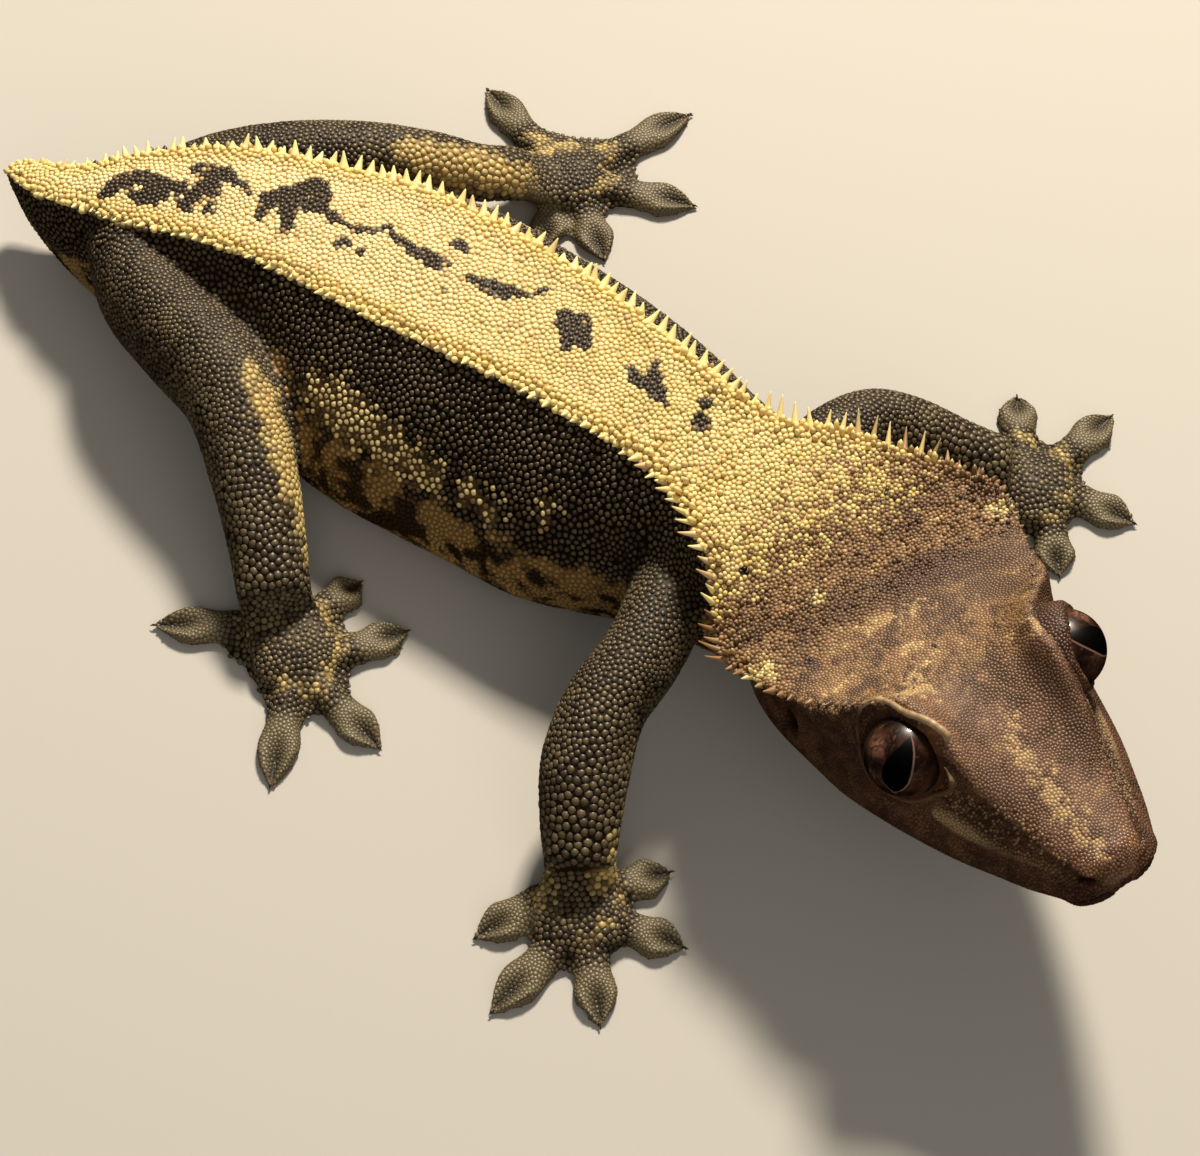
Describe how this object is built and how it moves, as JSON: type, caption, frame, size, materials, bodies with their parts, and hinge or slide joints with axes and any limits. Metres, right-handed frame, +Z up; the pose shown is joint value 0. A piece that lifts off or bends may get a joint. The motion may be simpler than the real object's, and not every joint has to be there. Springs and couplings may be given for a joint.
{
  "type": "crested gecko",
  "caption": "Still life-size crested gecko without a tail, lying on its belly with spread feet, its head raised and turned, with spiny crests from the eyes down the back.",
  "frame": {"origin": "on the floor under the middle of the box round the animal", "axes": "+Z up, head towards -Y, the animal's left side towards +X"},
  "size_m": [0.0743, 0.1068, 0.0242],
  "materials": {
    "body_skin": "fine dry granular scales, cream back band with dark brown flanks",
    "head_skin": "fine dry granular scales, tan with a mauve brown snout",
    "limb_skin": "coarser rounded granules, dark olive grey with pale highlights",
    "eye": "wet clear cornea over a reddish brown iris with an upright slit pupil"
  },
  "bodies": {
    "root": {"eye_left": "eye", "eye_right": "eye", "foot_left": "limb_skin", "foot_right": "limb_skin", "forearm_left": "limb_skin", "forearm_right": "limb_skin", "hand_left": "limb_skin", "hand_right": "limb_skin", "head": "head_skin", "neck": "body_skin", "pelvis": "body_skin", "shank_left": "limb_skin", "shank_right": "limb_skin", "tail": "body_skin", "thigh_left": "limb_skin", "thigh_right": "limb_skin", "torso": "body_skin", "upper_arm_left": "limb_skin", "upper_arm_right": "limb_skin"}
  },
  "joints": []
}
